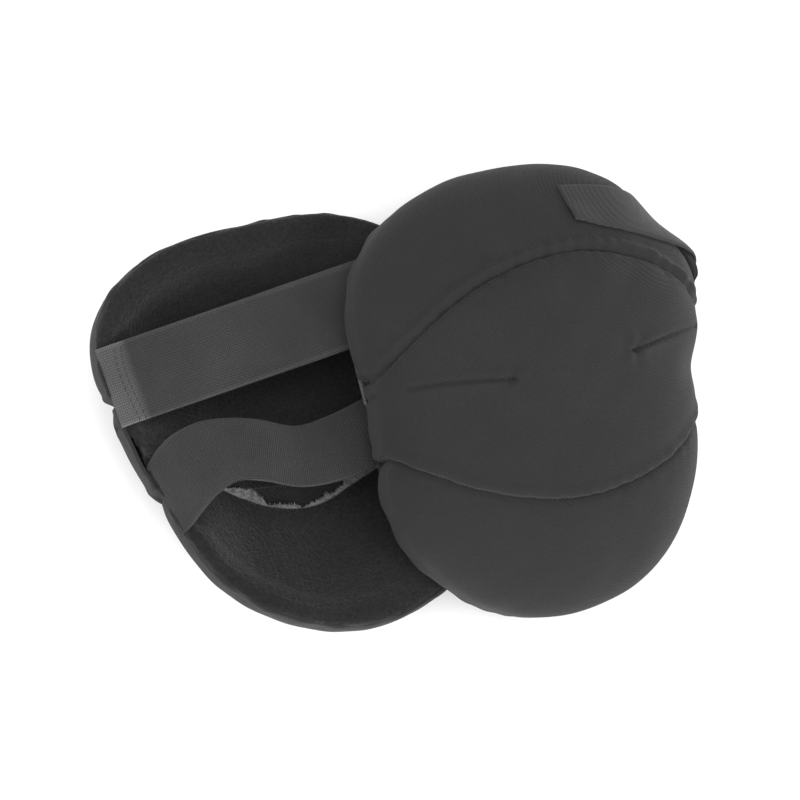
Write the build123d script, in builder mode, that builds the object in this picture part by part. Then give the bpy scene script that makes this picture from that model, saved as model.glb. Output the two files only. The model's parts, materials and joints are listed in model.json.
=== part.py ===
from build123d import *
import os
from math import cos, hypot, radians, sin

# A pair of soft knee pads, stored one on the other. The left pad lies dome down, its lined mouth
# up. The right pad is dome up, propped on the left pad's rim, its own right edge on the ground.
# Millimetres, +Z up. Each pad is made in its own frame: x across the knee, y up the leg, z out of
# the front, and z = 0 in the plane of the rim.

# ---- the cup shape of one pad
DOME_DEPTH = 58.0          # rim plane to crown
BULGE_HEIGHT = 14.0        # height at which the cup is widest
RIM_PINCH = 0.05           # how much narrower the rim is than the widest ring
CROWN_FLAT = 88.0          # degrees along the dome's arc where the small crown flat begins
SKEW = 0.11                # how far the cup leans to +x for each millimetre up the leg
HALF_OUTLINE = [           # widest ring, from the thigh end round to the shin end
    (0, 99),
    (36, 96),
    (68, 81),
    (88, 56),
    (93, 34),
    (90, 8),
    (87, -14),
    (83, -38),
    (75, -66),
    (58, -90),
    (32, -108),
    (0, -115),
]

# ---- layers, from the outside in
COVER = 1.5
LINING = 1.8
EASE = 0.4                 # between a layer and the next
RIM_WIDTH = 8.0            # the lined rim, from the cover's outside to the hollow
KNEE_DEPTH = 38.0          # rim plane to the bottom of the lined hollow
HOLLOW_POWER = 2.2         # 2 would make the hollow's section a parabola
LINING_RUN = 2.5           # the lining's thickness, measured level, at the hollow's edge

# ---- seams, as arcs in plan: (y at the side, y at the middle)
SIDE = 98.0
UPPER_SEAM = (2.0, 52.0)
LOWER_SEAM = (-12.0, -62.0)
SLIT_TOP = (-2.4, -35.0)
SLIT_BOTTOM = (-2.6, -45.0)
FACING_BOTTOM = (-8.0, -51.0)
FACING_HALF_LENGTH = 50.0
FACING = 0.8

# ---- straps
STRAP = 1.6
STRAP_WIDTH = 38.0
SEWN_Y, FOLD_Y = 22.0, 45.0        # the taut strap's middle at its sewn end and at its fold
SLACK_Y = -28.0            # the slack strap's middle
SLACK_TILT = 4.0           # degrees that it climbs towards the tab's side
SEWN_END = 80.0            # where the taut strap is sewn down, from the middle
LOWER_END = 84.0           # half the slack strap's length, before it is cut to the rim
LOWER_FREE = 52.0          # half the stretch of it that is free of the rim
SLACK_BOW = 11.0           # how far the slack strap stands out of the mouth, then drops into it
FOLD_GAP = 0.5             # between the strap's end and the tab that folds from it

# ---- hook tab, pressed on the cover
TAB = 1.2
HOOKS = 1.0
TAB_CLEAR = 0.4            # from the cover to the hooks
HOOK_SHARE = 0.85          # of the tab's strip, covered by hooks
RIGHT_TAB_PLAN = [(74, 44), (13, 63), (15, 83), (56, 77), (80, 64)]     # past the fold, in plan
LEFT_TAB_PLAN = [(74, 38), (58, 42), (58, 66), (76, 64)]

# ---- thread
THREAD = 0.5
STITCH = 3.0
STITCH_PITCH = 5.0
DART_FROM, DART_TO = 30.0, 80.0
STITCH_ROWS = (4.0, 9.0)   # rows of stitches, from the sewn end of a strap

# ---- how the two pads lie
LEFT_AT = (-46.0, -2.0, 59.9)
LEFT_TURN = (13.0, 2.0, 12.0)      # about Z, then X, then Y
RIGHT_AT = (62.0, 11.0, 34.7)
RIGHT_TURN = (13.0, 4.3, 23.0)
TALL = 90.0                # taller than any pad, for the blocks that cut pieces out


def ring_points(inset, scale):
    """The widest ring moved in by inset, then scaled, as points right round."""
    right = []
    for x, y in HALF_OUTLINE:
        shrink = scale * (1 - inset / hypot(x, y))
        right.append((x * shrink, y * shrink))
    left = [(-x, y) for x, y in reversed(right[1:-1])]
    return [(x + SKEW * y, y) for x, y in right + left]


def stacked(inset, levels):
    """A solid through rings of the outline, one at each (height, scale)."""
    with BuildPart() as solid:
        for height, scale in levels:
            with BuildSketch(Plane.XY.offset(height)):
                with BuildLine():
                    Spline(*ring_points(inset, scale), periodic=True)
                make_face()
        loft()
    return solid.part


def cup(inset, base=0.0):
    """A solid cup: the outer dome moved in by inset, standing on the plane z = base."""
    levels = []
    rise = BULGE_HEIGHT - base
    for step in range(3):
        height = base + rise * step / 3
        below = (BULGE_HEIGHT - height) / BULGE_HEIGHT
        levels.append((height, 1 - RIM_PINCH * below**2))
    above = DOME_DEPTH - inset - BULGE_HEIGHT
    steps = 7
    for step in range(steps + 1):
        angle = radians(CROWN_FLAT) * step / steps
        levels.append((BULGE_HEIGHT + above * sin(angle) ** 1.18, cos(angle) ** 0.96))
    return stacked(inset, levels)


def hollow(inset, depth):
    """A solid bowl, open side down: the space inside the rim, depth deep in the middle."""
    steps = 9
    levels = []
    for step in range(steps + 1):
        width = cos(radians(CROWN_FLAT) * step / steps)
        levels.append((depth * (1 - width**HOLLOW_POWER), width))
    return stacked(inset, levels)


def rim_block():
    """An upright block whose plan is the rim."""
    with BuildPart() as block:
        with BuildSketch(Plane.XY.offset(-TALL / 2)):
            with BuildLine():
                Spline(*ring_points(0, 1 - RIM_PINCH), periodic=True)
            make_face()
        extrude(amount=TALL)
    return block.part


def plan_block(low_arc, high_arc, half_width=SIDE + 5):
    """An upright block between two plan arcs; None leaves that side open."""
    far = 130.0
    with BuildPart() as block:
        with BuildSketch(Plane.XY.offset(-5)):
            with BuildLine():
                if high_arc is None:
                    high = Polyline((-SIDE, far), (0, far), (SIDE, far))
                else:
                    high = ThreePointArc((-SIDE, high_arc[0]), (0, high_arc[1]), (SIDE, high_arc[0]))
                if low_arc is None:
                    low = Polyline((-SIDE, -far), (0, -far), (SIDE, -far))
                else:
                    low = ThreePointArc((-SIDE, low_arc[0]), (0, low_arc[1]), (SIDE, low_arc[0]))
                Line(high @ 0, low @ 0)
                Line(high @ 1, low @ 1)
            make_face()
        extrude(amount=TALL)
    if half_width < SIDE:
        with BuildPart() as narrow:
            add(block.part)
            Box(2 * half_width, 4 * far, 4 * TALL, mode=Mode.INTERSECT)
        return narrow.part
    return block.part


def layer(outer, inner, block):
    """The part of the shell between two cups that lies inside a block."""
    with BuildPart() as piece:
        add(outer)
        add(inner, mode=Mode.SUBTRACT)
        add(block, mode=Mode.INTERSECT)
    return piece.part


def tab_block(plan, side, share=1.0):
    """An upright block, in plan the tab's strip from the fold to its tip, drawn in to a share."""
    middle_x = sum(x for x, y in plan) / len(plan)
    middle_y = sum(y for x, y in plan) / len(plan)
    strip = [(middle_x + share * (x - middle_x), middle_y + share * (y - middle_y)) for x, y in plan]
    reach = 2.0 * SIDE
    half = share * STRAP_WIDTH / 2
    fold = [(reach, FOLD_Y + half), (reach, FOLD_Y - half), (SIDE, FOLD_Y - half)]
    with BuildPart() as block:
        with BuildSketch(Plane.XY.offset(-5)):
            with BuildLine():
                Polyline(*[(side * x, y) for x, y in fold + strip], close=True)
            make_face()
        extrude(amount=TALL)
    return block.part


def slack_strap(side, bows):
    """The slack strap: flat on the rim at both sides, with a free curve across the mouth."""
    reach = [-LOWER_FREE, -LOWER_FREE * 0.5, 0, LOWER_FREE * 0.5, LOWER_FREE]
    near = [(side * x, bow) for x, bow in zip(reach, bows)]
    with BuildPart() as strap:
        with BuildSketch(Plane.XZ.offset(-STRAP_WIDTH / 2)):
            with BuildLine():
                for drop in (0, STRAP):
                    curve = [(x, z - drop) for x, z in near]
                    free = Spline(*curve, tangents=((side, 0), (side, 0)))
                    start = Line((-side * LOWER_END, -drop), free @ 0)
                    end = Line(free @ 1, (side * LOWER_END, -drop))
                Line((-side * LOWER_END, 0), start @ 0)
                Line((side * LOWER_END, 0), end @ 1)
            make_face()
        extrude(amount=STRAP_WIDTH)
    across = Pos(0, SLACK_Y, 0) * Rot(0, 0, side * SLACK_TILT) * strap.part
    with BuildPart() as cut:
        add(across)
        add(rim_block(), mode=Mode.INTERSECT)
    return cut.part


def thread_rows(places):
    """Short raised stitches at each place: (x, y, z, length along x, length along y)."""
    with BuildPart() as thread:
        for x, y, z, along_x, along_y in places:
            with Locations((x, y, z)):
                Box(along_x, along_y, THREAD)
    return thread.part


# ---- the cups, shared by both pads
outer_cup = cup(0.0)
cover_inside = cup(COVER)
filling = cup(COVER + EASE)
foam_hollow = hollow(RIM_WIDTH - LINING_RUN - EASE, KNEE_DEPTH + LINING + EASE)
lining_outside = hollow(RIM_WIDTH - LINING_RUN, KNEE_DEPTH + LINING)
knee_hollow = hollow(RIM_WIDTH, KNEE_DEPTH)
facing_inside = hollow(RIM_WIDTH + FACING, KNEE_DEPTH - FACING)
thread_cup = cup(-THREAD)
tab_inside = cup(-(TAB_CLEAR + HOOKS), -STRAP)
tab_outside = cup(-(TAB_CLEAR + HOOKS + TAB), -STRAP)
hooks_inside = cup(-TAB_CLEAR, -STRAP)
strap_trim = cup(-(TAB_CLEAR + HOOKS - FOLD_GAP), -STRAP)

# ---- cover panels
upper_cover_panel = layer(outer_cup, cover_inside, plan_block(UPPER_SEAM, None))
middle_cover_panel = layer(outer_cup, cover_inside, plan_block(LOWER_SEAM, UPPER_SEAM))
lower_cover_panel = layer(outer_cup, cover_inside, plan_block(None, LOWER_SEAM))

# ---- foam, with the lining over its rim and down into the hollow
with BuildPart() as foam_insert:
    add(filling)
    add(foam_hollow, mode=Mode.SUBTRACT)
    with Locations((0, 0, (LINING + EASE) / 2)):
        Box(4 * SIDE, 4 * SIDE, LINING + EASE, mode=Mode.SUBTRACT)

with BuildPart() as lining:
    add(filling)
    with Locations((0, 0, LINING + TALL / 2)):
        Box(4 * SIDE, 4 * SIDE, TALL, mode=Mode.SUBTRACT)
    add(lining_outside)
    add(filling, mode=Mode.INTERSECT)
    add(knee_hollow, mode=Mode.SUBTRACT)

with BuildPart() as upper_lining:
    add(lining.part)
    add(plan_block(SLIT_TOP, None), mode=Mode.INTERSECT)

with BuildPart() as lower_lining:
    add(lining.part)
    add(plan_block(None, SLIT_BOTTOM), mode=Mode.INTERSECT)

pocket_facing = layer(
    knee_hollow, facing_inside, plan_block(FACING_BOTTOM, SLIT_BOTTOM, FACING_HALF_LENGTH)
)

# ---- dart stitches: small raised dashes along a line on each side of the middle panel
dashes = []
for side in (-1, 1):
    for step in range(int((DART_TO - DART_FROM) / STITCH_PITCH)):
        dashes.append((side * (DART_FROM + STITCH_PITCH * (step + 0.5)), 0.0))
with BuildPart() as dash_blocks:
    with Locations(*[(x, y, TALL / 2) for x, y in dashes]):
        Box(STITCH, 0.9, TALL)
dart_stitches = layer(thread_cup, outer_cup, dash_blocks.part)


def strap_pieces(side, tab_plan, bows):
    """The straps, tab and thread of one pad; side is where the hook tab is, +1 or -1."""
    half = STRAP_WIDTH / 2
    with BuildPart() as upper_strap:
        with BuildSketch(Plane.XY.offset(-STRAP)):
            with BuildLine():
                Polyline(
                    (-side * SIDE, SEWN_Y - half),
                    (side * SIDE, FOLD_Y - half),
                    (side * SIDE, FOLD_Y + half),
                    (-side * SIDE, SEWN_Y + half),
                    close=True,
                )
            make_face()
        extrude(amount=STRAP)
        add(strap_trim, mode=Mode.INTERSECT)
    hook_tab = layer(tab_outside, tab_inside, tab_block(tab_plan, side))
    hook_patch = layer(tab_inside, hooks_inside, tab_block(tab_plan, side, HOOK_SHARE))
    with BuildPart() as on_the_dome:
        add(hook_patch)
        Box(4 * SIDE, 4 * SIDE, 2 * BULGE_HEIGHT, mode=Mode.SUBTRACT)
    places = []
    count = int(STRAP_WIDTH / STITCH_PITCH)
    for row in STITCH_ROWS:
        for step in range(count):
            y = SEWN_Y + STITCH_PITCH * (step - (count - 1) / 2)
            places.append((-side * (SEWN_END - row), y, -STRAP - THREAD / 2, THREAD, STITCH))
    return {
        "upper_strap": upper_strap.part,
        "lower_strap": slack_strap(side, bows),
        "hook_tab": hook_tab,
        "hook_patch": on_the_dome.part,
        "strap_stitches": thread_rows(places),
    }


shared = {
    "upper_cover_panel": upper_cover_panel,
    "middle_cover_panel": middle_cover_panel,
    "lower_cover_panel": lower_cover_panel,
    "foam_insert": foam_insert.part,
    "upper_lining": upper_lining.part,
    "lower_lining": lower_lining.part,
    "pocket_facing": pocket_facing,
    "dart_stitches": dart_stitches,
}
left_bows = [0, -SLACK_BOW, -SLACK_BOW * 0.2, SLACK_BOW * 0.6, 0]
right_bows = [0, SLACK_BOW * 1.2, SLACK_BOW * 1.6, SLACK_BOW * 1.2, 0]


def stand(at, turn):
    return Pos(*at) * Rot(0, 0, turn[0]) * Rot(turn[1], 0, 0) * Rot(0, turn[2], 0)


pads = {
    "left": (stand(LEFT_AT, LEFT_TURN) * Rot(0, 180, 0), shared | strap_pieces(-1, LEFT_TAB_PLAN, left_bows)),
    "right": (stand(RIGHT_AT, RIGHT_TURN), shared | strap_pieces(1, RIGHT_TAB_PLAN, right_bows)),
}

placed = {}
for pad, (place, pieces) in pads.items():
    for name, solid in pieces.items():
        placed[f"{pad}_{name}"] = place * solid

# ---- the ground presses small flats on what touches it
ground = Pos(0, 0, -50) * Box(600, 600, 100)
for name, solid in placed.items():
    if solid.bounding_box().min.Z < 0:
        placed[name] = solid - ground

# ---- origin at the middle of the bottom of the whole pair
boxes = [solid.bounding_box() for solid in placed.values()]
middle_x = (min(box.min.X for box in boxes) + max(box.max.X for box in boxes)) / 2
middle_y = (min(box.min.Y for box in boxes) + max(box.max.Y for box in boxes)) / 2
centre = Pos(-middle_x, -middle_y, 0)

os.makedirs("parts", exist_ok=True)
for name, solid in placed.items():
    node = centre * solid
    node.label = name
    export_step(node, f"parts/{name}.step")
print("origin moved by", centre.position, "lowest", min(box.min.Z for box in boxes))
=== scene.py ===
"""A pair of soft knee pads, modelled as sewn covers, fleece linings, foam and elastic straps.

Each pad is made in its own frame, in millimetres: x towards the hook tab's side, y up the leg,
z out of the front, and z = 0 in the plane of the rim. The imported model's mounts and hinge axes
say where each frame lies, so nothing is fitted afterwards.
"""
import json
import math
import bmesh
import bpy
import numpy as np
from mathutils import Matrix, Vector


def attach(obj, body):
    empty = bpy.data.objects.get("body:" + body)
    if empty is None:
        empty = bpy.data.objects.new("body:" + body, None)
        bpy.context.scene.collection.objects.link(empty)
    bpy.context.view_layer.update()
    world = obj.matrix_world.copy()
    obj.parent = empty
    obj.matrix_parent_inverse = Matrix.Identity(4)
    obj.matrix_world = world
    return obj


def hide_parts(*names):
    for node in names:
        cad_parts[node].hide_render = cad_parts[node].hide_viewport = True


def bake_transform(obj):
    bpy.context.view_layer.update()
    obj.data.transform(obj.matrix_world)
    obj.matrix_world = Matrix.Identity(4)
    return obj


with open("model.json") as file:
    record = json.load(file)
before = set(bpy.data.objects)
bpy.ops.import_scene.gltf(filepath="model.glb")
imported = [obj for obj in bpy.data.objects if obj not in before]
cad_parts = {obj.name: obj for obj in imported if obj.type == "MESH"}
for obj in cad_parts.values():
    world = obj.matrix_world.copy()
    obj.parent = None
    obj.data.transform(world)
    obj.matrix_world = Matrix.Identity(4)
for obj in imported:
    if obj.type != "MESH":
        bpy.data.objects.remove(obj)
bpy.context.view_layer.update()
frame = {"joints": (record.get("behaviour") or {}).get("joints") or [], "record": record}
MM = 0.001

# ---- the cup shape of one pad
DOME_DEPTH = 58.0
BULGE_HEIGHT = 14.0        # of the widest ring over the rim
RIM_PINCH = 0.010          # how much narrower the rim is than the widest ring, as a share of it
RISE_POWER, NARROW_POWER = 1.18, 0.96          # of the sine and cosine that shape the crown
SKEW = 0.11                # lean to CAD +x for each millimetre up the leg
# half the widest ring, from the thigh end's middle to the shin end's
HALF_OUTLINE = [
    (0, 99), (36, 96), (68, 81), (88, 56), (93, 34), (90, 8), (87, -14), (83, -38), (75, -66),
    (58, -90), (32, -108), (0, -115),
]
COVER_ROOM = 0.965         # the plain ring's share of the CAD's, which leaves room for the swell
# where each pad's stuffing swells or sinks its edge: direction in degrees, how far, spread in degrees
STUFFING = {
    "left": [(100, -10, 50), (-145, -2.5, 15)],
    "right": [
        (135, 7, 25), (95, 4, 25), (42, -8.5, 16), (-9, -5, 9), (-65, 4, 20), (-118, 2, 20),
        (-150, 6, 22),
    ],
}
# seams and the slit are arcs in plan: y at x = -SIDE and SIDE, and y in the middle
SIDE = 98.0
UPPER_SEAM = (2.0, 52.0)
LOWER_SEAM = (-12.0, -62.0)
SLIT = (-2.5, -40.0)
KNEE_DEPTH, HOLLOW_POWER, KNEE_RIM = 38.0, 2.2, 9.5
COVER, LINING = 1.2, 1.3
REFERENCE_RADIUS = 88.0    # a typical radius of the widest ring, for lengths along a section
FOAM_GAP = 3.2             # from the plain dome in to the foam, and from the lining's face to it
RIM_ROLL = 1.0             # radius of the cover's rolled edge
EDGE = -1.2                # where the cover ends, along that roll
WALL_ROWS = 14             # mesh rows from that edge to the widest ring
PRESS = 0.004              # below this height, in metres, the floor presses the cloth flat
DARTS = {-1: (-36.0, -2.0, 4.0), 1: (28.0, 0.0, 7.0)}      # tip x, tip y, y at the rim
DART_START = 78.0          # how far from the middle a dart comes over the widest ring

# ---- straps
STRAP_WIDTH, STRAP = 38.0, 1.5
SEWN_Y, FOLD_Y = 22.0, 45.0
SEWN_TO_FOLD = 168.0       # across the mouth, about the same in both pads
SLACK_Y = -27.0            # about the middle of the slack strap, over its whole length
TAB_GAP, HOOKS, TAB = 0.5, 0.9, 1.2
FOLD_LEAN = {"left": 21.3, "right": -9.7}      # degrees from the pad's up to its hinge, to CAD +x
TAB_EDGES = {
    "left": ([(80, 34), (74, 38), (66, 40.5), (58, 42)], [(67, 65), (64, 66), (61, 66.5), (58, 66.5)]),
    "right": (
        [(91, 36.5), (81, 43), (58, 51), (38, 57), (16, 63)],
        [(86, 67), (79, 70.5), (58, 77), (38, 81), (18, 83)],
    ),
}
WALL_SHARE = 0.22          # of the tab's length that goes up the side wall
TAB_LOW, TAB_HIGH = 4.0, 0.5       # how far up the tab's edges shift on that wall
EDGE_SAMPLES = 400         # along each edge of the tab

MOUNTS = {mount["name"]: mount for mount in frame["record"]["mounts"]}
JOINTS = {joint["name"]: joint for joint in frame["joints"]}


# ------------------------------------------------------------------ numbers
def closed_curve(points, count):
    """A periodic cubic spline through the points, by chord length."""
    points = np.array(points, float)
    n = len(points)
    chord = np.linalg.norm(np.roll(points, -1, 0) - points, axis=1)
    matrix = np.zeros((n, n))
    target = np.zeros((n, 2))
    for i in range(n):
        before, after = (i - 1) % n, (i + 1) % n
        matrix[i, before] += chord[before]
        matrix[i, i] += 2 * (chord[before] + chord[i])
        matrix[i, after] += chord[i]
        slope_after = (points[after] - points[i]) / chord[i]
        target[i] = 6 * (slope_after - (points[i] - points[before]) / chord[before])
    bend = np.linalg.solve(matrix, target)
    start = np.concatenate([[0], np.cumsum(chord)])
    at = np.linspace(0, start[-1], count, endpoint=False)
    i = np.clip(np.searchsorted(start, at, side="right") - 1, 0, n - 1)
    j, h = (i + 1) % n, chord[i][:, None]
    a, b = (start[i + 1] - at)[:, None], (at - start[i])[:, None]
    value = bend[i] * a**3 / (6 * h) + bend[j] * b**3 / (6 * h)
    value += (points[i] / h - bend[i] * h / 6) * a + (points[j] / h - bend[j] * h / 6) * b
    return value


def dome_profile():
    """Height and width of the dome along its arc, with the arc's length."""
    low = np.linspace(0, 1, 24)[:-1]
    angle = np.linspace(0, math.pi / 2, 160)
    above = DOME_DEPTH - BULGE_HEIGHT
    height = np.concatenate([low * BULGE_HEIGHT, BULGE_HEIGHT + above * np.sin(angle) ** RISE_POWER])
    width = np.concatenate([1 - RIM_PINCH * (1 - low) ** 2, np.cos(angle) ** NARROW_POWER])
    width[-1] = 0
    step = np.hypot(np.diff(height), REFERENCE_RADIUS * np.diff(width))
    return height, width, np.concatenate([[0], np.cumsum(step)])


HEIGHT, WIDTH, ARC = dome_profile()
ARC_END = ARC[-1]
BULGE_ARC = np.interp(BULGE_HEIGHT, HEIGHT, ARC)


def polar(theta, reach, height):
    return np.stack(np.broadcast_arrays(reach * np.cos(theta), reach * np.sin(theta), height), -1)


def seam_y(seam, x):
    """The y of a seam, an arc in plan through (-SIDE, side), (0, middle) and (SIDE, side)."""
    side, middle = seam
    sagitta = middle - side
    bend = (SIDE**2 + sagitta**2) / (2 * abs(sagitta))
    sign = math.copysign(1, sagitta)
    return middle - sign * (bend - np.sqrt(bend**2 - np.clip(x, -SIDE, SIDE) ** 2))


def first_crossing(theta, surface, lengths, seam, above):
    """How far in from the rim each ray of the cup first reaches a seam; 0 where it starts past it."""
    x, y = (surface(theta[None, :], lengths[:, None])[..., k] for k in (0, 1))
    side = (y - seam_y(seam, x)) * (1 if above else -1)
    past = side <= 0
    hit = past.argmax(0)
    found = past.any(0) & (hit > 0)
    column = np.arange(len(theta))
    before, after = side[np.maximum(hit - 1, 0), column], side[hit, column]
    part = before / np.where(before - after == 0, 1, before - after)
    step = lengths[1] - lengths[0]
    return np.where(found, lengths[np.maximum(hit - 1, 0)] + part * step, 0)


def ripple(points, wavelength, seed, waves=7):
    """Smooth seeded unevenness, about -1 to 1."""
    rng = np.random.default_rng(seed)
    total = np.zeros(points.shape[:-1])
    for _ in range(waves):
        direction = rng.normal(size=3)
        direction *= 2 * math.pi / (wavelength * rng.uniform(0.7, 1.5) * np.linalg.norm(direction))
        total += np.sin(points @ direction + rng.uniform(0, 2 * math.pi))
    return total / math.sqrt(waves)


def nearest(points, samples):
    """Distance from each point to the closest of the samples, and which one that is."""
    flat = points.reshape(-1, 3)
    distance, which = np.empty(len(flat)), np.empty(len(flat), int)
    for start in range(0, len(flat), 4000):
        gap = np.linalg.norm(flat[start:start + 4000, None] - samples[None], axis=2)
        which[start:start + 4000] = gap.argmin(1)
        distance[start:start + 4000] = gap.min(1)
    return distance.reshape(points.shape[:-1]), which.reshape(points.shape[:-1])


def run_length(points):
    """How far along a line each of its points is."""
    return np.concatenate([[0], np.cumsum(np.linalg.norm(np.diff(points, axis=0), axis=1))])


def smooth(value):
    """An even ease from 0 to 1."""
    value = np.clip(value, 0, 1)
    return value * value * (3 - 2 * value)


# ------------------------------------------------------------------ the lining's section
def lining_path():
    """The lining's cross-section: (inset, height, width), over the rim and down into the bowl."""
    rim = [(-0.5, 0.7), (0.0, -1.0), (1.6, -2.2), (4.2, -2.3), (6.6, -1.5), (8.4, 0.1)]
    inset = [p[0] for p in rim]
    height = [p[1] for p in rim]
    width = [1 - RIM_PINCH] * len(rim)
    for angle in np.radians(np.linspace(15, 90, 60)):
        inset.append(KNEE_RIM)
        height.append(KNEE_DEPTH * (1 - np.cos(angle) ** HOLLOW_POWER))
        width.append(max(np.cos(angle), 0))
    inset, height, width = (np.array(v, float) for v in (inset, height, width))
    reach = (REFERENCE_RADIUS - inset) * width
    length = np.concatenate([[0], np.cumsum(np.hypot(np.diff(reach), np.diff(height)))])
    tangent = np.stack([np.gradient(reach, length), np.gradient(height, length)], -1)
    tangent /= np.linalg.norm(tangent, axis=1)[:, None]
    return inset, height, width, length, tangent


LIN_INSET, LIN_HEIGHT, LIN_WIDTH, LIN_LENGTH, LIN_TANGENT = lining_path()
LIN_END = LIN_LENGTH[-1]
LENGTHS = np.linspace(0, LIN_END, 700)
ARCS = np.linspace(BULGE_ARC, ARC_END, 700)


# ------------------------------------------------------------------ the pads
class Pad:
    """One pad's frame: hand is +1 where x runs along the CAD's local +x, -1 where it is mirrored."""

    def __init__(self, side, hand, seed):
        seat = MOUNTS[f"{side}_knee_seat"]
        self.side, self.hand, self.seed = side, hand, seed
        self.body, self.tab_body = f"{side}_pad", f"{side}_tab"
        self.origin = np.array(seat["pos_m"])
        self.out = -np.array(seat["axis"])
        lean = math.radians(FOLD_LEAN[side])
        hinge = hand * np.array(JOINTS[f"{side}_hook_tab_peel"]["axis"])
        self.up = math.cos(lean) * hinge + math.sin(lean) * np.cross(self.out, hinge)
        self.across = hand * np.cross(self.up, self.out)
        other_half = [(-x, y) for x, y in reversed(HALF_OUTLINE[1:-1])]
        curve = COVER_ROOM * closed_curve(HALF_OUTLINE + other_half, 1440)
        angle = np.arctan2(curve[:, 1], curve[:, 0])
        order = np.argsort(angle)
        self.angle, self.ring = angle[order], np.hypot(curve[:, 0], curve[:, 1])[order]
        for way, out, spread in STUFFING[side]:
            turn = np.degrees(self.angle) - way
            self.ring = self.ring + out * np.exp(-(((turn + 180) % 360 - 180) / spread) ** 2)
        self.upper_line, self.upper_arc = self.seam(UPPER_SEAM, True)
        self.lower_line, self.lower_arc = self.seam(LOWER_SEAM, False)
        self.dart_lines = {way: self.dart_line(way) for way in (-1, 1)}

    def radius(self, theta):
        """Distance from the pad's axis to its widest ring."""
        return np.interp(theta, self.angle, self.ring, period=2 * math.pi)

    def dome(self, theta, arc, inset):
        """A point arc millimetres up the dome from the rim; below 0 it rolls under the edge."""
        height = np.interp(arc, ARC, HEIGHT)
        width = np.interp(arc, ARC, WIDTH)
        share = (DOME_DEPTH - inset - BULGE_HEIGHT) / (DOME_DEPTH - BULGE_HEIGHT)
        height = np.where(height > BULGE_HEIGHT, BULGE_HEIGHT + (height - BULGE_HEIGHT) * share, height)
        turn = np.clip(-arc, 0, None) / RIM_ROLL
        roll = np.where(arc < 0, RIM_ROLL - inset, 0)
        reach = (self.radius(theta) - inset) * width - roll * (1 - np.cos(turn))
        return polar(theta, reach, height - roll * np.sin(turn))

    def lining(self, theta, length, lift=0.0):
        """A point of the lining, length in from the rim, lifted towards the knee."""
        inset = np.interp(length, LIN_LENGTH, LIN_INSET)
        height = np.interp(length, LIN_LENGTH, LIN_HEIGHT)
        width = np.interp(length, LIN_LENGTH, LIN_WIDTH)
        along = np.interp(length, LIN_LENGTH, LIN_TANGENT[:, 0])
        rise = np.interp(length, LIN_LENGTH, LIN_TANGENT[:, 1])
        reach = (self.radius(theta) - inset) * width - rise * lift
        reach = np.where(length > LIN_END - 1e-6, 0, np.maximum(reach, 0))
        return polar(theta, reach, height + along * lift)

    def seam(self, seam, above):
        """Points all along a seam, down the side walls too, and its arc for any angle."""
        theta = np.linspace(-math.pi, math.pi, 2881)
        arc = first_crossing(theta, lambda t, a: self.dome(t, a, 0.0), ARCS, seam, above)
        on = arc > 0
        ends = theta[on][0], theta[on][-1]
        down = np.linspace(EDGE, BULGE_ARC, WALL_ROWS)
        walls = [self.dome(np.full(WALL_ROWS, end), down, 0.0) for end in ends]
        line = np.concatenate([walls[0], self.dome(theta[on], arc[on], 0.0), walls[1]])
        return line, (theta, arc, ends)

    def dart_line(self, way):
        """Points along a dart, from the rim to its tip, slightly bowed."""
        tip_x, tip_y, rim_y = DARTS[way]
        x = np.linspace(way * DART_START, tip_x, 90)
        y = rim_y + (tip_y - rim_y) * np.linspace(0, 1, 90) ** 1.3
        theta, arc = self.over(x, y)
        rim = self.dome(np.full(12, theta[0]), np.linspace(0, BULGE_ARC, 12), 0.0)
        return np.concatenate([rim, self.dome(theta, arc, 0.0)])

    def over(self, x, y):
        """The angle and arc of the point of the dome that is over a plan point."""
        theta = np.arctan2(y, x)
        width = np.clip(np.hypot(x, y) / self.radius(theta), 0, 1)
        upper = ARC >= BULGE_ARC
        return theta, np.interp(-width, -WIDTH[upper], ARC[upper])

    def rim_x(self, way, y):
        """The true x of the rim's edge at a height y, on the tab's side (+1) or the other (-1)."""
        theta = np.linspace(-1.3, 1.3, 2000) if way > 0 else np.linspace(1.9, 4.4, 2000)
        ring = self.radius(theta) * (1 - RIM_PINCH)
        at = np.argmin(np.abs(ring * np.sin(theta) - y))
        return ring[at] * math.cos(theta[at]) + self.hand * SKEW * y

    def place(self, points, true=False):
        """Local millimetres to the shared frame's metres; points that aren't true get the skew."""
        points = np.asarray(points, float)
        x, y = points[..., 0], points[..., 1]
        if not true:
            x = x + self.hand * SKEW * y
        spread = x[..., None] * self.across + y[..., None] * self.up
        spots = self.origin + MM * (spread + points[..., 2:3] * self.out)
        low = spots[..., 2]
        spots[..., 2] = np.where(low < PRESS, PRESS * np.exp(np.minimum(low / PRESS - 1, 0)), low)
        return spots


PADS = [Pad("left", -1, 11), Pad("right", 1, 42)]


# ------------------------------------------------------------------ meshes
def make_object(name, vertices, faces, uv=None):
    """A smooth-shaded mesh object with its normals outwards."""
    mesh = bpy.data.meshes.new(name)
    mesh.from_pydata([tuple(v) for v in vertices], [], faces)
    if uv is not None:
        layer = mesh.uv_layers.new(name="UVMap")
        loops = np.zeros(len(mesh.loops), int)
        mesh.loops.foreach_get("vertex_index", loops)
        layer.data.foreach_set("uv", np.asarray(uv, float)[loops].ravel())
    work = bmesh.new()
    work.from_mesh(mesh)
    loose = [vertex for vertex in work.verts if not vertex.link_faces]
    bmesh.ops.delete(work, geom=loose, context="VERTS")
    bmesh.ops.recalc_face_normals(work, faces=work.faces)
    work.to_mesh(mesh)
    work.free()
    mesh.shade_smooth()
    piece = bpy.data.objects.new(name, mesh)
    bpy.context.collection.objects.link(piece)
    return piece


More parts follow.
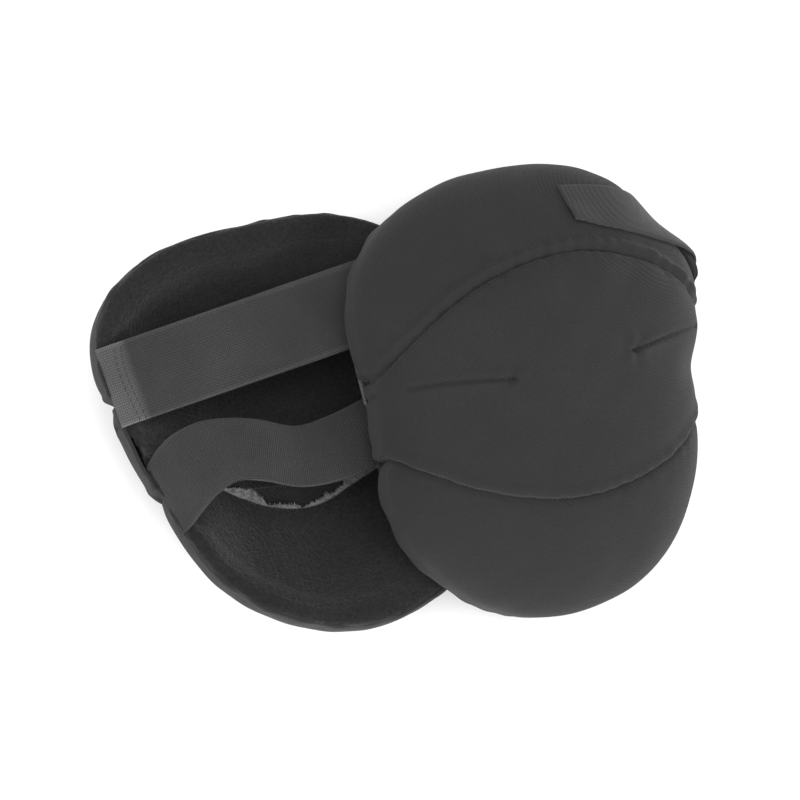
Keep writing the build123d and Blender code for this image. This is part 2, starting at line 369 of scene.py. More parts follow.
def shell(name, pad, patches, true=False, uv=None):
    """A closed skin from (front, back) grids of points; grids that share points are joined."""
    front = np.concatenate([f.reshape(-1, 3) for f, _ in patches])
    back = np.concatenate([b.reshape(-1, 3) for _, b in patches])
    keys = np.round(front / 1e-3).astype(np.int64)
    _, first, same = np.unique(keys, axis=0, return_index=True, return_inverse=True)
    same = same.ravel()
    faces, base = [], 0
    for grid, _ in patches:
        rows, columns = grid.shape[:2]
        for i in range(rows - 1):
            for j in range(columns - 1):
                a = base + i * columns + j
                corners = [int(same[k]) for k in (a, a + 1, a + columns + 1, a + columns)]
                ring = [c for k, c in enumerate(corners) if c != corners[k - 1]]
                if len(set(ring)) > 2:
                    faces.append(ring)
        base += rows * columns
    uses = {}
    for face in faces:
        for a, b in zip(face, face[1:] + face[:1]):
            uses.setdefault((min(a, b), max(a, b)), []).append((a, b))
    count = len(first)
    walls = [[b, a, a + count, b + count] for way in uses.values() if len(way) == 1 for a, b in way]
    inner = [[c + count for c in reversed(face)] for face in faces]
    points = np.concatenate([front[first], back[first]])
    both = None if uv is None else np.concatenate([uv.reshape(-1, 2)[first]] * 2)
    return make_object(name, pad.place(points, true), faces + inner + walls, both)


# ------------------------------------------------------------------ cover
def cover_lift(pad, points, panel):
    """How far the cover stands out of the plain dome: stuffing, seams, darts and creases."""
    upper, _ = nearest(points, pad.upper_line)
    lower, _ = nearest(points, pad.lower_line)
    seam = np.minimum(upper, lower)
    low = smooth((30 - points[..., 2]) / 16)
    lift = 1.3 * (1 - np.exp(-(seam / 9) ** 2)) - 2.0 * np.exp(-(seam / 1.5) ** 2)
    lift -= 1.6 * low * np.exp(-(seam / 4.5) ** 2)
    pucker = ripple(points, 7.5, pad.seed + 1) * np.exp(-(seam / 5.5) ** 2)
    stuffing = 0.4 * ripple(points, 60.0, pad.seed)
    lift += 0.3 * pucker + stuffing + 0.12 * ripple(points, 17.0, pad.seed + 2)
    edge = np.exp(-(points[..., 2] / 6) ** 2)
    lift += 0.45 * edge * ripple(points, 13.0, pad.seed + 3)
    if panel == "upper":
        lift += 1.5 * np.exp(-((upper - 3.2) / 2.2) ** 2) + 0.3 * pucker
    if panel == "middle":
        lift += 1.5 * np.exp(-((lower - 4) / 3.2) ** 2)
        for way, line in pad.dart_lines.items():
            gap, which = nearest(points, line)
            along = which / len(line)
            lift -= (1.7 - 0.8 * along) * np.exp(-(gap / 1.0) ** 2)
            fold = np.exp(-(gap / 4.5) ** 2) * (1 - np.exp(-(gap / 1.3) ** 2))
            lift += 0.9 * (0.5 + along) * fold
            tip = np.linalg.norm(points - line[-1], axis=-1)
            turn = np.arctan2(points[..., 1] - line[-1][1], points[..., 0] - line[-1][0])
            lift -= 2.0 * np.exp(-(tip / 2.6) ** 2)
            lift += 0.55 * np.cos(3 * turn + way) * np.exp(-((tip - 5) / 4.0) ** 2)
    if panel == "lower":
        lift -= 0.5 * np.exp(-(lower / 5) ** 2)
    return lift


def cover_columns(pad):
    """The angles of the cover's columns, denser where a seam runs down a side wall."""
    even = np.linspace(-math.pi, math.pi, 441)
    ends = list(pad.upper_arc[2]) + list(pad.lower_arc[2])
    near = [end + np.linspace(-0.05, 0.05, 21) for end in ends]
    theta = np.unique(np.round(np.concatenate([even] + near), 6))
    theta[0], theta[-1] = -math.pi, math.pi
    return theta


def seam_arc(seam, theta):
    """How far up the dome a seam is at each angle, or 0 off its ends."""
    angles, arcs, (start, end) = seam
    inside = (theta >= start) & (theta <= end)
    on = arcs > 0
    return np.where(inside, np.interp(theta, angles[on], arcs[on]), 0)


def cover_patch(pad, panel, theta, arc):
    """The outside and the inside of a stretch of a panel."""
    grid_theta = np.broadcast_to(theta, arc.shape)
    lift = cover_lift(pad, pad.dome(grid_theta, arc, 0.0), panel)
    return pad.dome(grid_theta, arc, -lift), pad.dome(grid_theta, arc, COVER - lift)


def cover_panel(pad, panel):
    """One panel of the cover, its edges exactly on the seams."""
    theta = cover_columns(pad)
    upper, lower = seam_arc(pad.upper_arc, theta), seam_arc(pad.lower_arc, theta)
    wall = np.repeat(np.linspace(EDGE, BULGE_ARC, WALL_ROWS)[:, None], len(theta), 1)
    if panel == "middle":
        start = np.where(upper + lower > 0, upper + lower, BULGE_ARC)
        cap = start + np.linspace(0, 1, 84)[:, None] ** 1.15 * (ARC_END - start)
        patches = [cover_patch(pad, panel, theta, cap)]
        free = np.flatnonzero(upper + lower == 0)
        for run in np.split(free, np.flatnonzero(np.diff(free) > 1) + 1):
            patches.append(cover_patch(pad, panel, theta[run], wall[:, run]))
    else:
        seam = upper if panel == "upper" else lower
        run = np.flatnonzero(seam > 0)
        run = np.arange(run[0] - 1, run[-1] + 2)
        end = np.maximum(seam[run], BULGE_ARC)
        top = BULGE_ARC + (1 - (1 - np.linspace(0, 1, 36)[:, None]) ** 1.2) * (end - BULGE_ARC)
        patches = [
            cover_patch(pad, panel, theta[run], wall[:, run]),
            cover_patch(pad, panel, theta[run], top),
        ]
    piece = shell(f"{pad.side}_{panel}_cover", pad, patches)
    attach(piece, pad.body)
    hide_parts(f"{pad.side}_{panel}_cover_panel")
    return piece


# ------------------------------------------------------------------ lining
def lower_lip(x):
    """How far the slit's lower lip hangs open, along the lining."""
    left = np.clip(1 - ((x + 14) / 33) ** 2, 0, 1) ** 0.9
    right = np.clip(1 - ((x + 14) / 50) ** 2, 0, 1) ** 2.6
    return 8.5 * np.where(x < -14, left, right) + 0.25


def upper_lip(x):
    """How far the slit's upper lip is drawn up."""
    return 0.35 * lower_lip(x)


def under_strap(x, y):
    """How far a point is from the nearest strap's edge; below 0 is under it."""
    middle = (SEWN_Y + FOLD_Y) / 2 + (FOLD_Y - SEWN_Y) * x / SEWN_TO_FOLD
    return np.minimum(np.abs(y - middle), np.abs(y - SLACK_Y)) - STRAP_WIDTH / 2


def lining_lift(pad, points, length):
    """Fleece: soft lumps, sunk under the straps, gathered where the waist is pinched."""
    lift = 0.45 * ripple(points, 34.0, pad.seed + 5) + 0.07 * ripple(points, 6.5, pad.seed + 6, 12)
    on_rim = smooth((20 - length) / 8)
    x, y = points[..., 0], points[..., 1]
    clear = smooth(under_strap(x, y) / 9)
    rim_lift = 0.9 * clear * smooth(length / 4) - 0.9 * (1 - clear)
    lift = lift * (1 - on_rim * (1 - clear)) + on_rim * rim_lift
    pinch = np.exp(-((y + 9) / 8) ** 2) * smooth((-x - 52) / 12)
    gather = np.sin(y * 0.95 + 0.06 * x) + 0.6 * np.sin(y * 1.7 + 0.2 * x + 1)
    return lift + pinch * (0.9 * gather - 3.0 + 0.5 * ripple(points, 5.0, pad.seed + 8))


def lining_piece(pad, lower):
    """The fleece on one side of the slit, which it ends at."""
    if lower:
        every = np.linspace(-math.pi, 0, 1400)
        reach = every[first_crossing(every, pad.lining, LENGTHS, SLIT, False) > 0]
        theta = np.linspace(reach[0], reach[-1], 260)
        end = first_crossing(theta, pad.lining, LENGTHS, SLIT, False)
        x = pad.lining(theta, end)[:, 0]
        length = np.linspace(0, 1, 60)[:, None] * np.maximum(end - lower_lip(x), 0.3)
    else:
        theta = np.linspace(-math.pi, math.pi, 381)
        crossing = first_crossing(theta, pad.lining, LENGTHS, SLIT, False)
        x = pad.lining(theta, crossing)[:, 0]
        start = np.where(crossing > 0, crossing + upper_lip(x), 0)
        length = start + np.linspace(0, 1, 90)[:, None] * (LIN_END - start)
    grid_theta = np.broadcast_to(theta, length.shape)
    flat = pad.lining(grid_theta, length)
    lift = lining_lift(pad, flat, length)
    edge = np.abs(length - (length[-1] if lower else length[:1]))
    by_slit = smooth((36 - np.abs(flat[..., 0] + 12)) / 12) * np.exp(-(edge / 6) ** 2)
    lift += by_slit * (1.5 if lower else 0.8)
    patch = pad.lining(grid_theta, length, lift), pad.lining(grid_theta, length, lift - LINING)
    part = "lower" if lower else "upper"
    piece = shell(f"{pad.side}_{part}_fleece", pad, [patch])
    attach(piece, pad.body)
    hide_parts(f"{pad.side}_{part}_lining")
    return piece


def pocket_facing(pad):
    """The light binding along the slit's lower lip, its free edge frayed."""
    every = np.linspace(-math.pi, 0, 1400)
    middle = first_crossing(every, pad.lining, LENGTHS, SLIT, False)
    x = pad.lining(every, middle)[:, 0]
    on = every[(middle > 0) & (x > -49) & (x < 36)]
    columns, tuck = 460, 8.0
    theta = np.linspace(on[0], on[-1], columns)
    end = first_crossing(theta, pad.lining, LENGTHS, SLIT, False)
    x = pad.lining(theta, end)[:, 0]
    rng = np.random.default_rng(pad.seed + 20)
    fray = 1.5 * rng.random(columns) * (rng.random(columns) > 0.4)
    shown = 1.4 + 5.0 * np.exp(-((x + 35) / 9) ** 2) + 4.4 * np.exp(-((x - 22) / 10) ** 2)
    shown += 0.7 * np.sin(x * 0.37 + 1) + 0.4 * np.sin(x * 0.9)
    taper = smooth((43 - np.abs(x + 6.5)) / 8)
    reach = np.maximum(shown * taper + fray, 0.6)
    share = np.linspace(0, 1, 22)[:, None]
    past = share * (reach + tuck) - tuck
    length = end - lower_lip(x) + past
    crumple = 0.5 * np.sin(x * 0.5 + 3 * share) + 0.4 * np.sin(x * 1.3 + 5 * share)
    shows = smooth((past + 0.8) / 1.6)
    lift = -(LINING + 0.5) * (1 - shows) + shows * (1.1 + crumple * 0.8)
    grid_theta = np.broadcast_to(theta, length.shape)
    patch = pad.lining(grid_theta, length, lift), pad.lining(grid_theta, length, lift - 0.45)
    piece = shell(f"{pad.side}_slit_facing", pad, [patch])
    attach(piece, pad.body)
    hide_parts(f"{pad.side}_pocket_facing")
    return piece


def foam_piece(pad):
    """The foam insert, between the cover and the lining."""
    theta = np.linspace(-math.pi, math.pi, 161)
    rows = 34
    grid_theta = np.broadcast_to(theta, (rows, len(theta)))
    share = np.linspace(0, 1, rows)[:, None]
    up = np.broadcast_to(4 + share * (ARC_END - 4), grid_theta.shape)
    down = np.broadcast_to(5 + share * (LIN_END - 5), grid_theta.shape)
    outer = pad.dome(grid_theta, up, FOAM_GAP)
    inner = pad.lining(grid_theta, down, -FOAM_GAP)
    piece = shell(f"{pad.side}_foam", pad, [(outer, inner)])
    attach(piece, pad.body)
    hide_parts(f"{pad.side}_foam_insert")
    return piece


# ------------------------------------------------------------------ straps
def band(name, pad, centre, across, from_run):
    """A woven band: centre line and true crossing vectors, with thin edges and fine ribs."""
    width = np.linalg.norm(across, axis=1)[:, None]
    across = across / width
    tangent = np.gradient(centre, axis=0)
    normal = np.cross(tangent, across)
    normal /= np.linalg.norm(normal, axis=1)[:, None]
    count = 61
    v = np.linspace(-1, 1, count)
    rib = 0.035 * np.cos(np.arange(count) * math.pi)
    half = STRAP / 2 + rib - 0.45 * smooth((np.abs(v) - 0.95) / 0.05) * STRAP / 2
    spot = centre[:, None] + across[:, None] * (v * width / 2)[..., None]
    front = spot + normal[:, None] * half[None, :, None]
    back = spot - normal[:, None] * half[None, :, None]
    run = run_length(centre)
    uv = np.stack(np.broadcast_arrays((run[:, None] + from_run) * MM, v * width / 2 * MM), -1)
    return shell(name, pad, [(front, back)], true=True, uv=uv), run[-1]


def spline(points, count):
    """A smooth open curve through control points (Catmull-Rom)."""
    points = np.array(points, float)
    ends = np.concatenate([[2 * points[0] - points[1]], points, [2 * points[-1] - points[-2]]])
    at = np.linspace(0, len(points) - 1 - 1e-9, count)
    i, t = at.astype(int), (at % 1)[:, None]
    p0, p1, p2, p3 = (ends[i + k] for k in range(4))
    return 0.5 * (2 * p1 + (p2 - p0) * t + (2 * p0 - 5 * p1 + 4 * p2 - p3) * t**2
                  + (3 * p1 - p0 - 3 * p2 + p3) * t**3)


def strap_piece(pad, which, low, high, held, rests):
    """A strap between its two edge lines; the slack one's weave starts past the sewn end's painted
    highlight.
    """
    low, high = spline(low, 180), spline(high, 180)
    # the slack strap's weave starts 60 mm along, so the sewn end's painted highlight doesn't show on it
    from_run = 0.0 if which == "upper" else 60.0
    piece, length = band(f"{pad.side}_{which}_elastic", pad, (low + high) / 2, high - low, from_run)
    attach(piece, pad.body)
    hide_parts(f"{pad.side}_{which}_strap")
    return piece


def upper_strap(pad):
    """The taut strap across the mouth, from its sewn end to the fold."""
    edges = []
    for way in (-0.5, 0.5):
        sewn_y, fold_y = SEWN_Y + way * STRAP_WIDTH, FOLD_Y + way * STRAP_WIDTH
        start, end = pad.rim_x(-1, sewn_y) - 0.6, pad.rim_x(1, fold_y) + 0.8
        steps = [(0, -0.4), (2.0, -1.9), (6.5, -2.6), (13, -2.5), (30, -2.3), (60, -2.2)]
        from_end = ((60, -2.2), (30, -2.3), (10, -2.6), (3, -2.4), (0, -1.4))
        steps += [(end - start - gap, z) for gap, z in from_end]
        line = []
        for step, z in steps:
            share = step / (end - start)
            line.append((start + step, sewn_y + share * (fold_y - sewn_y), z))
        edges.append(line)
    rests = [f"{pad.side}_upper_lining"]
    return strap_piece(pad, "upper", *edges, "stretched", rests)


# the slack strap's two edges: the left one buckles up out of the bowl, the right one sinks into it
SLACK_LOW = {
    "left": [
        (-69.5, -51, 0.3), (-67, -50, -1.2), (-63, -47, -4), (-57.5, -42, -9), (-50, -36.5, -15.5),
        (-41, -33.5, -20), (-29.5, -36, -20), (-11, -42, -14.5), (11, -42, -9), (31, -37.5, -5),
        (49.5, -35.5, -2.5), (61, -36, -2), (68, -37, -1.4), (71.5, -37, 0.2),
    ],
    "right": [
        (-76.5, -50, 0.3), (-73.5, -50, -1.5), (-66, -49, -1.7), (-56, -48, -0.5), (-46, -47, 4.5),
        (-26, -46, 13), (0, -45, 16.5), (26, -44, 12.5), (46, -43, 4), (58, -42, -0.8), (68, -41.5, -1.7),
        (74.5, -41, -1.4), (77, -41, 0.3),
    ],
}
SLACK_HIGH = {
    "left": [
        (-78.5, -17, 0.3), (-76.5, -14.5, -1.2), (-72, -10, -2.5), (-64, -5, -5.5), (-51, -2, -7.5),
        (-37, -3, -6), (-23, -6, -2), (-5, -12, 3), (14, -9.5, 7), (33, -4.5, 7.5),
        (50.5, -0.5, 3), (62, 0, -1.2), (72, 0.5, -1.5), (76, 0.5, 0.2),
    ],
    "right": [
        (-83.5, -13, 0.3), (-80, -13, -1.5), (-70, -12.5, -1.7), (-58, -11.5, -0.8), (-46, -11, 4),
        (-26, -9, 11.5), (0, -8, 15), (26, -6.5, 12), (48, -5, 4.5), (62, -4, -0.8), (76, -3, -1.7),
        (83, -2.5, -1.4), (85.5, -2.5, 0.3),
    ],
}


def lower_strap(pad):
    """The slack strap, sewn at both sides and buckled between them."""
    rests = [f"{pad.side}_upper_lining", f"{pad.side}_lower_lining"]
    return strap_piece(pad, "lower", SLACK_LOW[pad.side], SLACK_HIGH[pad.side], "gathered", rests)


def wall_point(pad, y, arc, inset):
    """The dome's point at a height y on the tab's side, arc up the side wall."""
    theta = np.arctan2(y, REFERENCE_RADIUS)
    for _ in range(12):
        point = pad.dome(theta, arc, inset)
        theta = np.arctan2(y, np.maximum(point[..., 0], 1))
    return pad.dome(theta, arc, inset)


def tab_surface(pad, along, side, inset):
    """A point over the dome in the tab's strip, in true x: along 0 at the fold to 1 at the tip."""
    half = STRAP_WIDTH / 2
    climb = np.clip(along / WALL_SHARE, 0, 1)
    low_y, high_y = FOLD_Y - half + TAB_LOW * climb, FOLD_Y + half + TAB_HIGH * climb
    y = low_y + (side + 1) / 2 * (high_y - low_y)
    wall = wall_point(pad, y, -RIM_ROLL + climb * (BULGE_ARC + RIM_ROLL), inset)
    wall[..., 0] += pad.hand * SKEW * wall[..., 1]
    edges = []
    starts = FOLD_Y - half + TAB_LOW, FOLD_Y + half + TAB_HIGH
    for edge, start_y in zip(TAB_EDGES[pad.side], starts):
        ring = wall_point(pad, np.array(start_y), np.array(BULGE_ARC), 0.0)
        start = (ring[0] + pad.hand * SKEW * start_y, start_y)
        edges.append(spline([start] + edge, EDGE_SAMPLES))
    share = np.clip((along - WALL_SHARE) / (1 - WALL_SHARE), 0, 1) * (EDGE_SAMPLES - 1)
    samples = range(EDGE_SAMPLES)
    low, high = (np.stack([np.interp(share, samples, e[:, k]) for k in (0, 1)], -1) for e in edges)
    plan = low + (side[..., None] + 1) / 2 * (high - low)
    x = plan[..., 0] - pad.hand * SKEW * plan[..., 1]
    angle, arc = pad.over(x, plan[..., 1])
    over = pad.dome(angle, arc, inset)
    over[..., 0] += pad.hand * SKEW * over[..., 1]
    return np.where((along < WALL_SHARE)[..., None], wall, over)


def tab_rise(along, side):
    """How far the stiff tab stands off the cover: at its lower edge, and at the tip's corner."""
    lower = smooth((0.3 - side) / 1.3)
    middle = np.exp(-((along - 0.42) / 0.2) ** 2)
    tip = smooth((along - 0.88) / 0.12)
    wave = 0.25 * np.sin(along * 9 + side)
    return lower * (0.8 + 3.0 * middle) + 1.2 * tip * lower + 0.5 * tip + wave


def hook_tab(pad):
    """The tab folded round the rim, its hooks pressed on the cover's nap."""
    rows, columns = 110, 41
    along = np.broadcast_to(np.linspace(0, 1, rows)[:, None], (rows, columns))
    side = np.broadcast_to(np.linspace(-1, 1, columns)[None, :], (rows, columns))
    low = TAB_GAP + HOOKS + tab_rise(along, side) * smooth(along / 0.2)
    edge = 0.5 * smooth((np.abs(side) - 0.93) / 0.07)
    front = tab_surface(pad, along, side, -(low + TAB - edge))
    back = tab_surface(pad, along, side, -low)
    run = run_length(front[:, columns // 2])
    uv = np.stack(np.broadcast_arrays(run[:, None] * MM, (side[0] * STRAP_WIDTH / 2 * MM)[None, :]), -1)
    tab = shell(f"{pad.side}_tab", pad, [(front, back)], true=True, uv=uv)
    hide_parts(f"{pad.side}_hook_tab")
    fold = pad.rim_x(1, FOLD_Y)
    start = pad.place(np.array([fold - 3, FOLD_Y, -2.0]), True)
    end = pad.place(np.array([fold + 2, FOLD_Y, 5.0]), True)
    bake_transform(tab)

    rows = 80
    along = np.broadcast_to(np.linspace(0.26, 0.96, rows)[:, None], (rows, columns))
    side = np.broadcast_to(np.linspace(-0.9, 0.9, columns)[None, :], (rows, columns))
    rise = TAB_GAP + tab_rise(along, side)
    nap = 0.3 * np.random.default_rng(pad.seed + 30).random((rows, columns))
    front = tab_surface(pad, along, side, -(rise + HOOKS))
    back = tab_surface(pad, along, side, -(rise + nap))
    patch = shell(f"{pad.side}_hooks", pad, [(front, back)], true=True)
    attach(patch, pad.tab_body)
    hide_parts(f"{pad.side}_hook_patch")
    return tab, patch


# ------------------------------------------------------------------ thread
def stitches(name, pad, spots, node, thickness, true=False):
    """Short thread loops: each spot is (place, along, out), in the pad's frame."""
    vertices, faces = [], []
    rings, sides = 7, 8
    half_length, hump = 1.35, 0.3
    for place, along, out in spots:
        along = along / np.linalg.norm(along)
        out = out / np.linalg.norm(out)
        over = np.cross(along, out)
        base = len(vertices)
        for i in range(rings):
            t = i / (rings - 1) * 2 - 1
            middle = place + along * half_length * t + out * hump * (1 - t * t)
            thick = thickness * math.sqrt(max(1 - t**4, 0.05))
            for j in range(sides):
                a = 2 * math.pi * j / sides
                vertices.append(middle + thick * (math.cos(a) * over + math.sin(a) * out))
        for i in range(rings - 1):
            for j in range(sides):
                k = (j + 1) % sides
                a, b = base + i * sides, base + (i + 1) * sides
                faces.append([a + j, a + k, b + k, b + j])
        faces.append([base + j for j in reversed(range(sides))])
        faces.append([base + (rings - 1) * sides + j for j in range(sides)])
    piece = make_object(name, pad.place(np.array(vertices), true), faces)
    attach(piece, pad.body)
    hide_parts(node)
    return piece


def dart_stitches(pad):
    """Thread along both darts."""
    spots = []
    for line in pad.dart_lines.values():
        run = run_length(line)
        for at in np.arange(10, run[-1] - 3, 4.2):
            here = np.array([np.interp(at, run, line[:, k]) for k in range(3)])
            ahead = np.array([np.interp(at + 1, run, line[:, k]) for k in range(3)])
            out = here * [1, 1, 0] / REFERENCE_RADIUS + [0, 0, max(here[2] - BULGE_HEIGHT, 0) / 40]
            out = out / np.linalg.norm(out)
            lift = cover_lift(pad, here[None], "middle")[0]
            spots.append((here + out * (lift - 0.1), ahead - here, out))
    return stitches(f"{pad.side}_dart_thread", pad, spots, f"{pad.side}_dart_stitches", 0.26)


def strap_stitches(pad):
    """Two rows across the taut strap's sewn end, just proud of its face."""
    spots = []
    count, pitch = 12, 3.0
    for gap in (8.0, 11.0):
        for step in range(count):
            y = SEWN_Y + (step - (count - 1) / 2) * pitch
            x = pad.rim_x(-1, y) + gap
            spots.append((np.array([x, y, -3.15]), np.array([0, 1, 0]), np.array([0, 0, -1.0])))
    return stitches(f"{pad.side}_strap_thread", pad, spots, f"{pad.side}_strap_stitches", 0.13, true=True)


# ------------------------------------------------------------------ materials
def new_material(name):
    """A material with its nodes, its links and its shader."""
    material = bpy.data.materials.new(name)
    material.use_nodes = True
    nodes, links = material.node_tree.nodes, material.node_tree.links
    return material, nodes, links, nodes["Principled BSDF"]


def ramp(nodes, low, high, dark, light):
    """A colour ramp from dark at low to light at high."""
    node = nodes.new("ShaderNodeValToRGB")
    node.color_ramp.elements[0].position = low
    node.color_ramp.elements[1].position = high
    node.color_ramp.elements[0].color = (*dark, 1)
    node.color_ramp.elements[1].color = (*light, 1)
    return node


def grey(value):
    return (value, value, value)


def multiply(nodes, links, factor, a, b):
    """One colour multiplied by another, as far as the factor says."""
    node = nodes.new("ShaderNodeMix")
    node.data_type = "RGBA"
    node.blend_type = "MULTIPLY"
    node.inputs["Factor"].default_value = factor
    links.new(a, node.inputs["A"])
    links.new(b, node.inputs["B"])
    return node.outputs["Result"]


def ranged(nodes, links, value, start, end, low, high):
    """A factor that goes from low to high as a value goes from start to end."""
    node = nodes.new("ShaderNodeMapRange")
    for socket, number in zip(("From Min", "From Max", "To Min", "To Max"), (start, end, low, high)):
        node.inputs[socket].default_value = number
    links.new(value, node.inputs["Value"])
    return node.outputs["Result"]


def cloth(name, base, weave, sheen, bump, fuzz=False, contrast=0.35, rough=0.92, use_uv=False, ribs=450):
    """A woven or brushed cloth: mottled colour, thread pattern and bump, all procedural."""
    material, nodes, links, shader = new_material(name)
    place = nodes.new("ShaderNodeTexCoord").outputs["UV" if use_uv else "Object"]
    broad = nodes.new("ShaderNodeTexNoise")
    broad.inputs["Scale"].default_value = 28
    broad.inputs["Detail"].default_value = 5
    links.new(place, broad.inputs["Vector"])
    fine_noise = nodes.new("ShaderNodeTexNoise")
    fine_noise.inputs["Scale"].default_value = 1 / weave
    fine_noise.inputs["Detail"].default_value = 4
    fine_noise.inputs["Roughness"].default_value = 0.7
    links.new(place, fine_noise.inputs["Vector"])
    tone = ramp(nodes, 0.3, 0.7, grey(base * (1 - contrast * 0.3)), grey(base * (1 + contrast * 0.3)))
    links.new(broad.outputs["Fac"], tone.inputs["Fac"])
    speck = ramp(nodes, 0.25, 0.75, grey(1 - contrast), grey(1 + contrast))
    links.new(fine_noise.outputs["Fac"], speck.inputs["Fac"])
    colour = multiply(nodes, links, 1.0, tone.outputs["Color"], speck.outputs["Color"])
    wave = nodes.new("ShaderNodeTexWave")
    wave.wave_type = "BANDS"
    wave.bands_direction = "X" if use_uv else "DIAGONAL"
    wave.inputs["Scale"].default_value = ribs
    wave.inputs["Distortion"].default_value = 0.6 if use_uv else 1.5
    wave.inputs["Detail"].default_value = 2
    wave.inputs["Detail Scale"].default_value = 2
    links.new(place, wave.inputs["Vector"])
    lines = ramp(nodes, 0.0, 1.0, grey(1 - 0.5 * contrast), grey(1 + 0.3 * contrast))
    links.new(wave.outputs["Fac"], lines.inputs["Fac"])
    colour = multiply(nodes, links, 1.0 if not fuzz else 0.3, colour, lines.outputs["Color"])
    total = nodes.new("ShaderNodeMath")
    total.operation = "MULTIPLY_ADD"
    total.inputs[1].default_value = 0.6 if not fuzz else 0.1
    links.new(wave.outputs["Fac"], total.inputs[0])
    links.new(fine_noise.outputs["Fac"], total.inputs[2])
    links.new(colour, shader.inputs["Base Color"])
    relief = nodes.new("ShaderNodeBump")
    relief.inputs["Strength"].default_value = bump
    relief.inputs["Distance"].default_value = 0.0006 if not fuzz else 0.0012
    links.new(total.outputs["Value"], relief.inputs["Height"])
    links.new(relief.outputs["Normal"], shader.inputs["Normal"])
    shader.inputs["Roughness"].default_value = rough
    shader.inputs["Specular IOR Level"].default_value = 0.25
    shader.inputs["Sheen Weight"].default_value = sheen
    shader.inputs["Sheen Roughness"].default_value = 0.45
    shader.inputs["Sheen Tint"].default_value = (*grey(0.8), 1)
    return material


def webbing(name, base):
    """Elastic webbing: ribs along it, crossed by fine rows, with painted highlights along its edges and
    on its sewn end.
    """
    material = cloth(name, base, 0.0005, 0.10, 0.9, contrast=0.55, rough=0.85, use_uv=True, ribs=320)
    nodes, links = material.node_tree.nodes, material.node_tree.links
    shader = nodes["Principled BSDF"]
    colour = shader.inputs["Base Color"].links[0].from_socket
    split = nodes.new("ShaderNodeSeparateXYZ")
    links.new(nodes["Texture Coordinate"].outputs["UV"], split.inputs["Vector"])
    far = nodes.new("ShaderNodeMath")
    far.operation = "ABSOLUTE"
    links.new(split.outputs["Y"], far.inputs[0])
    # painted highlight: the colour is made up to 1.45 times lighter along both edges of the strap, where
    # light catches them
    edges = ranged(nodes, links, far.outputs["Value"], 0.0172, 0.0184, 1.0, 1.45)
    # painted highlight: the first 11 mm of the strap, its sewn end, is up to 2.3 times lighter, fading
    # out by 15 mm
    sewn = ranged(nodes, links, split.outputs["X"], 0.011, 0.015, 2.3, 1.0)
    cross = nodes.new("ShaderNodeTexWave")
    cross.bands_direction = "Y"
    cross.inputs["Scale"].default_value = 260
    cross.inputs["Distortion"].default_value = 0.8
    links.new(nodes["Texture Coordinate"].outputs["UV"], cross.inputs["Vector"])
    rows = ranged(nodes, links, cross.outputs["Fac"], 0.0, 1.0, 0.7, 1.25)
    for factor in (edges, sewn, rows):
        colour = multiply(nodes, links, 1.0, colour, factor)
    links.new(colour, shader.inputs["Base Color"])
    return material


MATERIALS = {
    "cover_fabric": cloth("cover cloth", 0.0165, 0.0007, 0.085, 0.5, contrast=0.24),
    "fleece": cloth("fleece", 0.0110, 0.0016, 0.14, 0.9, fuzz=True, contrast=0.7, rough=1.0),
    "foam": cloth("foam", 0.03, 0.0012, 0.0, 0.4),
    "elastic": webbing("elastic", 0.031),
    "tab_fabric": cloth("tape back", 0.024, 0.0006, 0.10, 0.35, contrast=0.22, rough=0.8),
    "hook_tape": cloth("hook tape", 0.012, 0.0007, 0.0, 1.0, rough=0.55),
    "facing_fabric": cloth("slit binding", 0.15, 0.0006, 0.4, 0.6, contrast=0.5, rough=0.6),
    "thread": cloth("thread", 0.018, 0.0004, 0.05, 0.5),
}


def paint(piece, slot):
    piece.data.materials.clear()
    piece.data.materials.append(MATERIALS[slot])


# ------------------------------------------------------------------ assembly
for pad in PADS:
    for panel in ("upper", "middle", "lower"):
        paint(cover_panel(pad, panel), "cover_fabric")
    paint(lining_piece(pad, False), "fleece")
    paint(lining_piece(pad, True), "fleece")
    paint(pocket_facing(pad), "facing_fabric")
    paint(foam_piece(pad), "foam")
    paint(upper_strap(pad), "elastic")
    paint(lower_strap(pad), "elastic")
    tab, hooks = hook_tab(pad)
    paint(tab, "tab_fabric")
    paint(hooks, "hook_tape")
    paint(dart_stitches(pad), "thread")
    paint(strap_stitches(pad), "thread")


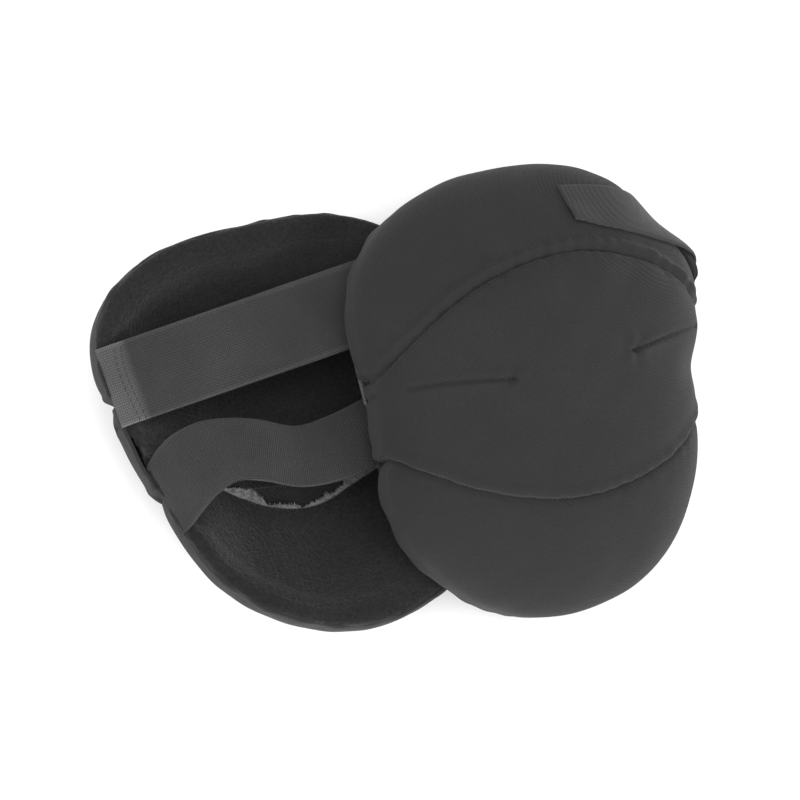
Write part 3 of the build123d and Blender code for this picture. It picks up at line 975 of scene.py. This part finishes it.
# ------------------------------------------------------------------ stage
def floor():
    """The pale floor, which isn't part of the pads."""
    material, nodes, links, shader = new_material("pale floor")
    noise = nodes.new("ShaderNodeTexNoise")
    noise.inputs["Scale"].default_value = 3
    tone = ramp(nodes, 0.3, 0.7, grey(0.90), grey(0.92))
    links.new(noise.outputs["Fac"], tone.inputs["Fac"])
    links.new(tone.outputs["Color"], shader.inputs["Base Color"])
    shader.inputs["Roughness"].default_value = 0.9
    size = 6.0
    mesh = bpy.data.meshes.new("floor")
    corners = [(-size, -size, 0), (size, -size, 0), (size, size, 0), (-size, size, 0)]
    mesh.from_pydata(corners, [], [(0, 1, 2, 3)])
    ground = bpy.data.objects.new("floor", mesh)
    mesh.materials.append(material)
    bpy.context.collection.objects.link(ground)


def area_light(name, place, target, size, power):
    """A soft round light, aimed at the target."""
    light = bpy.data.lights.new(name, "AREA")
    light.shape = "DISK"
    light.size = size
    light.energy = power
    lamp = bpy.data.objects.new(name, light)
    lamp.location = place
    lamp.rotation_euler = (Vector(target) - Vector(place)).to_track_quat("-Z", "Y").to_euler()
    bpy.context.collection.objects.link(lamp)


def camera():
    """The view from a little in front of straight above."""
    elevation, distance = math.radians(82.0), 1.05
    seat = MOUNTS["left_knee_seat"]["pos_m"]
    target = Vector((seat[0] + 0.046, seat[1] + 0.002, 0.04))
    back = Vector((0, -math.cos(elevation), math.sin(elevation)))
    lens = bpy.data.cameras.new("camera")
    lens.lens = 98.55
    lens.sensor_width = 36.0
    eye = bpy.data.objects.new("camera", lens)
    eye.location = target + back * distance
    eye.rotation_euler = (-back).to_track_quat("-Z", "Y").to_euler()
    bpy.context.collection.objects.link(eye)
    bpy.context.scene.camera = eye


floor()
area_light("overhead", (0.15, 0.05, 1.6), (0, 0, 0.03), 1.4, 22)
area_light("left window", (-1.3, -0.2, 0.75), (0, 0, 0.05), 0.9, 12)
area_light("right window", (1.1, -0.9, 0.8), (0, 0, 0.05), 1.0, 20)
camera()
world = bpy.data.worlds.new("studio")
world.use_nodes = True
world.node_tree.nodes["Background"].inputs["Color"].default_value = (1, 1, 1, 1)
world.node_tree.nodes["Background"].inputs["Strength"].default_value = 0.55
bpy.context.scene.world = world
bpy.context.scene.view_settings.view_transform = "Standard"
